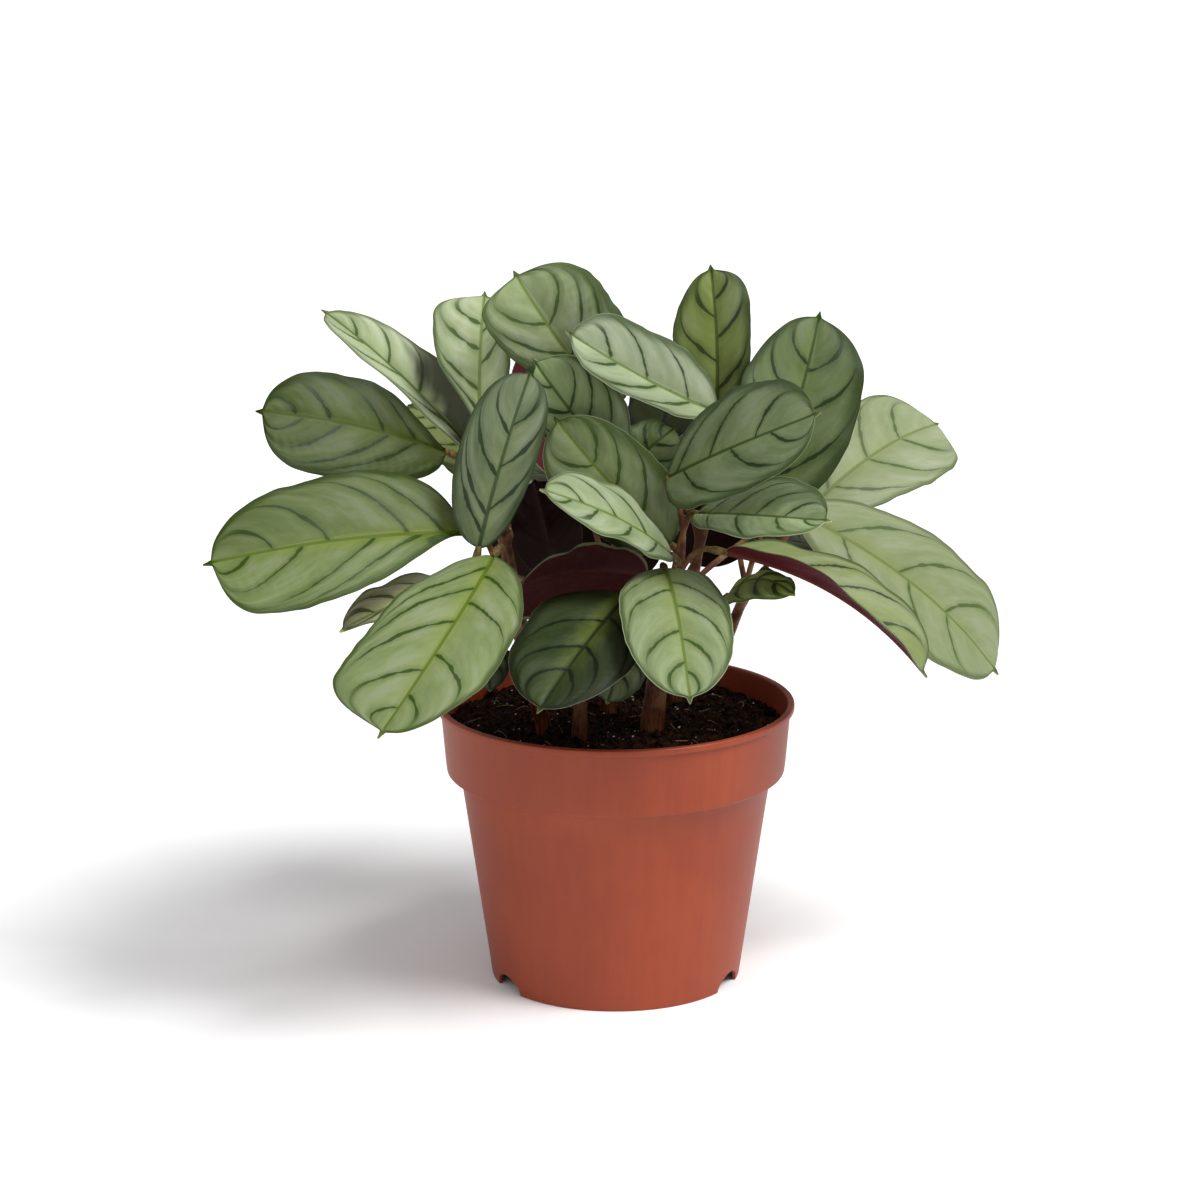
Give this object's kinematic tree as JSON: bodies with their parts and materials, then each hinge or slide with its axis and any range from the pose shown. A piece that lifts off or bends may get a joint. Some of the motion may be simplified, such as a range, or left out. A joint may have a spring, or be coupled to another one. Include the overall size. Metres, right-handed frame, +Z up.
{
  "type": "potted ctenanthe",
  "caption": "Bushy ctenanthe with silver-green oblong leaves banded in dark green and burgundy below, in a round terracotta-coloured plastic nursery pot of dark peat mix.",
  "frame": {"origin": "on the pot's axis, on the surface the pot stands on, which is the middle of the box's underside", "axes": "+Z up, -Y towards the viewer, +X to the viewer's right along the plant's widest spread"},
  "size_m": [0.2614, 0.2097, 0.245],
  "materials": {
    "pot_plastic": "semi-matt moulded terracotta-coloured plastic",
    "soil": "dark crumbly peat mix with fibres",
    "petiole": "reddish-brown to olive, slightly fuzzy stems",
    "leaf": "satin silver-green above with dark green bands, burgundy below"
  },
  "bodies": {
    "root": {"pot": "pot_plastic", "soil": "soil", "shoot_left": "petiole", "shoot_left_rear": "petiole", "shoot_front": "petiole", "shoot_middle": "petiole", "shoot_upper": "petiole", "shoot_right": "petiole", "shoot_right_rear": "petiole", "shoot_rear": "petiole", "leaf_01": "leaf", "leaf_02": "leaf", "leaf_03": "leaf", "leaf_04": "leaf", "leaf_05": "leaf", "leaf_06": "leaf", "leaf_07": "leaf", "leaf_08": "leaf", "leaf_09": "leaf", "leaf_10": "leaf", "leaf_11": "leaf", "leaf_12": "leaf", "leaf_13": "leaf", "leaf_14": "leaf", "leaf_15": "leaf", "leaf_16": "leaf", "leaf_17": "leaf", "leaf_18": "leaf", "leaf_19": "leaf", "leaf_20": "leaf", "leaf_21": "leaf", "leaf_22": "leaf", "leaf_23": "leaf", "leaf_24": "leaf", "leaf_25": "leaf", "leaf_26": "leaf", "leaf_27": "leaf", "leaf_28": "leaf", "leaf_29": "leaf", "leaf_30": "leaf", "leaf_31": "leaf", "leaf_32": "leaf", "leaf_33": "leaf", "leaf_34": "leaf", "leaf_35": "leaf", "leaf_36": "leaf", "leaf_37": "leaf", "leaf_38": "leaf", "leaf_39": "leaf", "leaf_40": "leaf"}
  },
  "joints": []
}
